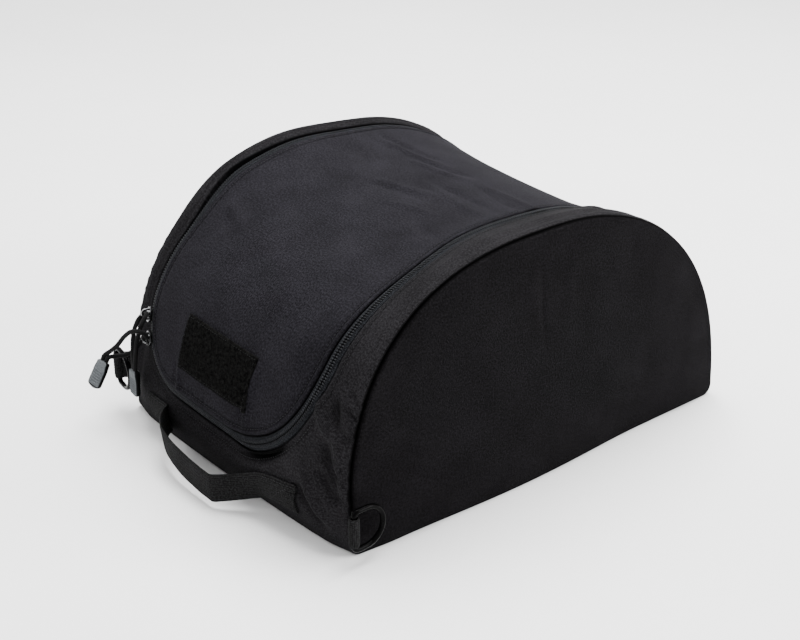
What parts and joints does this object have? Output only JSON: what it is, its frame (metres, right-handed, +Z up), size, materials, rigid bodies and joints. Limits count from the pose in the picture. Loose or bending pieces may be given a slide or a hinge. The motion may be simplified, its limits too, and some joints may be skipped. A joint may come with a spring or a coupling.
{
  "type": "helmet bag",
  "caption": "Soft half-round helmet bag with a zipped U-shaped lid, padded end panels, webbing carry handle, loop patch, D-rings and corded zip pulls.",
  "frame": {"origin": "middle of the flat underside of the base panel", "axes": "+Z up, -Y towards the front with the carry handle, +X towards the right-hand end panel"},
  "size_m": [0.3381, 0.4587, 0.2176],
  "materials": {
    "lid_cloth": "woven nylon, charcoal grey, matt",
    "gusset_cloth": "woven nylon, charcoal grey, matt",
    "end_cloth": "woven nylon over padding, black, matt",
    "loop_pile": "fuzzy loop pile, black",
    "webbing": "woven webbing, black",
    "zip_tape": "woven tape with a coil edge, grey",
    "slider_metal": "plated metal, bright",
    "ring_metal": "black plated wire, glossy",
    "pull_cord": "braided cord, black",
    "grip_plastic": "moulded plastic, mid grey"
  },
  "bodies": {
    "bag": {"base_panel": "end_cloth", "end_panel_right": "end_cloth", "end_panel_left": "end_cloth", "body_band": "gusset_cloth", "lid_flap": "lid_cloth", "zip_tape_lid": "zip_tape", "zip_tape_body": "zip_tape", "loop_patch": "loop_pile", "carry_handle": "webbing", "d_ring_tab_right": "webbing", "d_ring_tab_left": "webbing", "slider_upper": "slider_metal", "pull_cord_upper": "pull_cord", "pull_grip_upper": "grip_plastic", "slider_lower": "slider_metal", "pull_cord_lower": "pull_cord", "pull_grip_lower": "grip_plastic"},
    "ring_right": {"d_ring_right": "ring_metal"},
    "ring_left": {"d_ring_left": "ring_metal"}
  },
  "joints": [
    {"name": "d_ring_right_swing", "type": "hinge", "parent": "bag", "child": "ring_right", "pos_m": [0.164, -0.2105, 0.031], "axis": [0, 0, 1], "range_deg": [-255, 8]},
    {"name": "d_ring_left_swing", "type": "hinge", "parent": "bag", "child": "ring_left", "pos_m": [-0.1655, -0.211, 0.039], "axis": [0, 0, 1], "range_deg": [-220, 6]}
  ]
}
